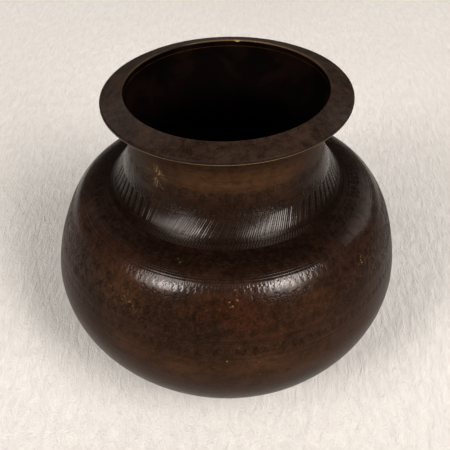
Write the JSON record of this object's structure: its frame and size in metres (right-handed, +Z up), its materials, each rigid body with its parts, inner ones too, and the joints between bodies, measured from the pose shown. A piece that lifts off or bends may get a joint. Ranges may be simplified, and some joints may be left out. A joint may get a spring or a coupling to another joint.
{
  "type": "lota water pot",
  "caption": "Round-bellied metal water pot with a flared neck, a drooping flat rim and a small flat foot, brazed up from worked shells.",
  "frame": {"origin": "middle of the flat that the pot stands on", "axes": "+Z up along the pot's axis, +X towards the side where the rim leans up"},
  "size_m": [0.1824, 0.1824, 0.1635],
  "materials": {
    "bowl_bronze": "dark brown patina, hand-worn semi-gloss, engraved",
    "neck_bronze": "dark brown patina worn golden in the middle, engraved",
    "rim_bronze": "brown patina worn greyish, finely scratched",
    "brazing_metal": "dull brazing spelter, darkened"
  },
  "bodies": {
    "root": {"lower_bowl": "bowl_bronze", "upper_bowl": "bowl_bronze", "neck": "neck_bronze", "rim_ring": "rim_bronze", "belly_braze": "brazing_metal", "neck_braze": "brazing_metal", "rim_braze": "brazing_metal"}
  },
  "joints": []
}
